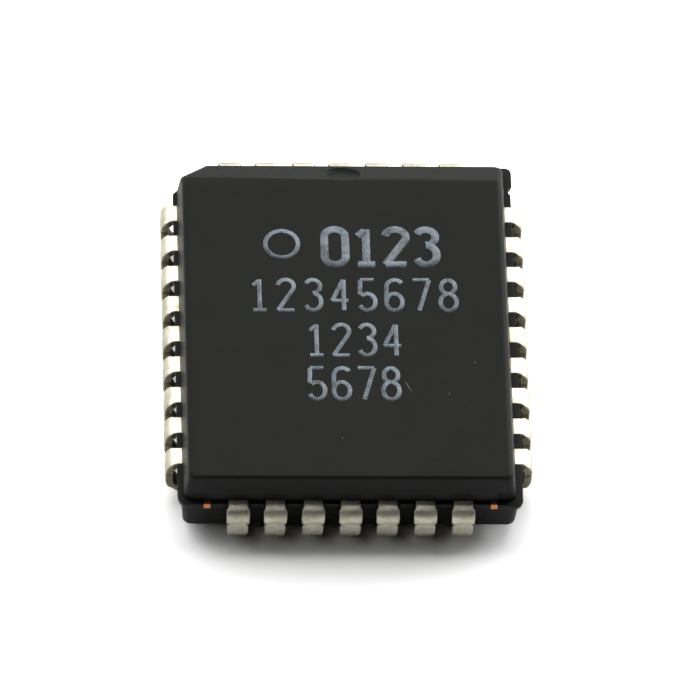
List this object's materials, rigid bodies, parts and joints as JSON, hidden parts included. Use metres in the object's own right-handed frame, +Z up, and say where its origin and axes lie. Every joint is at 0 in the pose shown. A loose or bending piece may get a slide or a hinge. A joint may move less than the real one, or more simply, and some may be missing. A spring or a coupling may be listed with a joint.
{
  "type": "eprom chip",
  "caption": "Rectangular plastic leaded chip carrier with J leads on all four sides, a sloped edge with a dimple and one cut corner; holds a one-time programmable memory die.",
  "frame": {"origin": "middle of the plane that the feet of the leads stand on", "axes": "+Z up through the top of the body; +Y along the long direction, towards the sloped end of lead 1; +X to the right seen from above with +Y ahead, so the cut corner is at -X, +Y"},
  "size_m": [0.0124, 0.015, 0.0032],
  "materials": {
    "mould_compound": "matte, fine grain",
    "plated_lead": "satin tin plate",
    "frame_copper": "bare copper alloy, cut ends",
    "die_attach": "silver filled adhesive",
    "silicon": "polished"
  },
  "bodies": {
    "root": {"moulded_body": "mould_compound", "lead_01": "plated_lead", "lead_02": "plated_lead", "lead_03": "plated_lead", "lead_04": "plated_lead", "lead_05": "plated_lead", "lead_06": "plated_lead", "lead_07": "plated_lead", "lead_08": "plated_lead", "lead_09": "plated_lead", "lead_10": "plated_lead", "lead_11": "plated_lead", "lead_12": "plated_lead", "lead_13": "plated_lead", "lead_14": "plated_lead", "lead_15": "plated_lead", "lead_16": "plated_lead", "lead_17": "plated_lead", "lead_18": "plated_lead", "lead_19": "plated_lead", "lead_20": "plated_lead", "lead_21": "plated_lead", "lead_22": "plated_lead", "lead_23": "plated_lead", "lead_24": "plated_lead", "lead_25": "plated_lead", "lead_26": "plated_lead", "lead_27": "plated_lead", "lead_28": "plated_lead", "lead_29": "plated_lead", "lead_30": "plated_lead", "lead_31": "plated_lead", "lead_32": "plated_lead", "die_pad": "frame_copper", "die_attach": "die_attach", "silicon_die": "silicon"}
  },
  "joints": []
}
